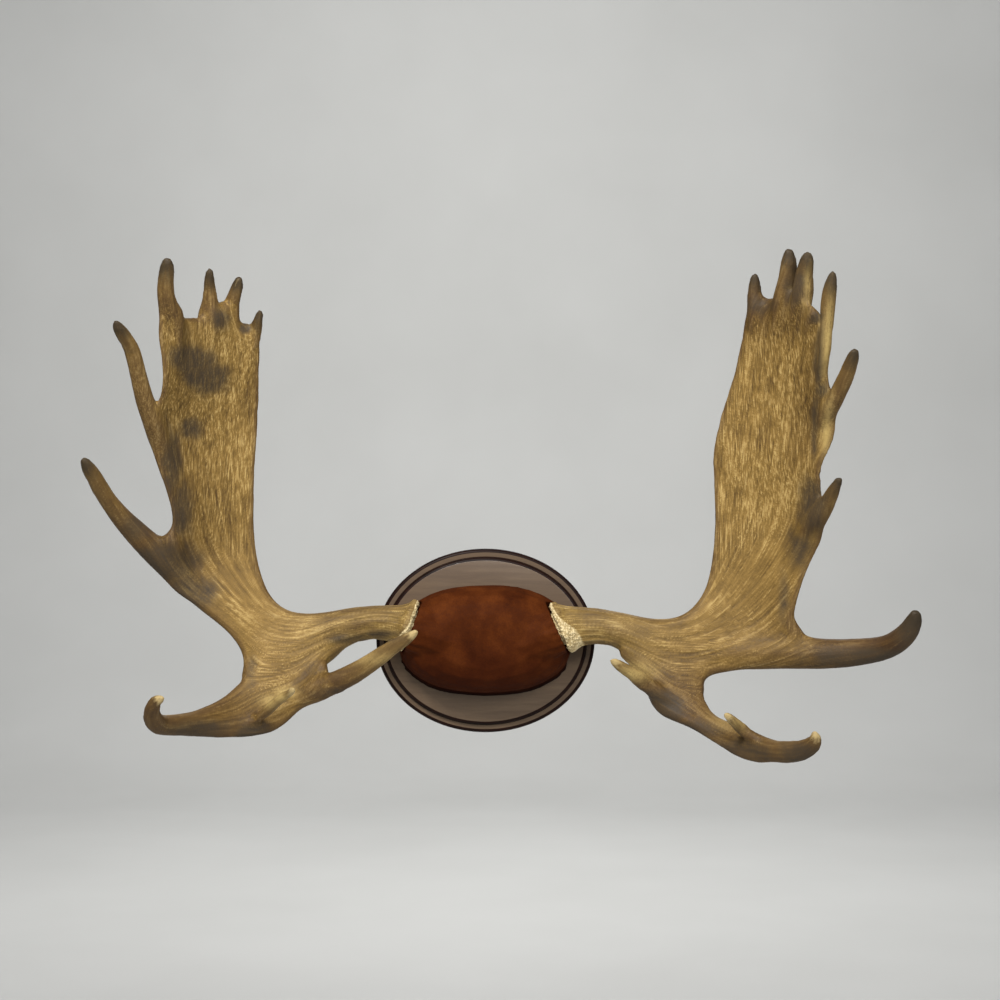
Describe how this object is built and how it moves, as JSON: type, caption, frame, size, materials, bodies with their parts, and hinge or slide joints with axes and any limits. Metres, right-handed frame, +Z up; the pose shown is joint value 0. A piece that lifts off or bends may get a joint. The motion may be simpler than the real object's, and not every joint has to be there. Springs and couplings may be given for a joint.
{
  "type": "moose antler wall mount",
  "caption": "Wall-hung pair of moose antlers: broad palms with pointed tines, joined by a leather-covered skull cap on an oval wooden plaque with a moulded edge.",
  "frame": {"origin": "centre of the plaque's flat back, on the wall", "axes": "+Y out of the plaque's back into the wall, +Z up, +X to the viewer's right"},
  "size_m": [1.0987, 0.2825, 0.676],
  "materials": {
    "antler": "dry antler, satin, streaked along the growth",
    "leather": "matte rust-brown hide",
    "wood": "dark lacquered hardwood",
    "steel": "zinc-plated"
  },
  "bodies": {
    "root": {"left_antler_beam": "antler", "left_antler_palm": "antler", "left_antler_brow_palm": "antler", "right_antler_beam": "antler", "right_antler_palm": "antler", "right_antler_long_tine": "antler", "right_antler_brow_palm": "antler", "skull_cover": "leather", "plaque": "wood", "hanger_plate": "steel", "hanger_screw_top": "steel", "hanger_screw_bottom": "steel", "skull_screw_top": "steel", "skull_screw_left": "steel", "skull_screw_right": "steel"}
  },
  "joints": []
}
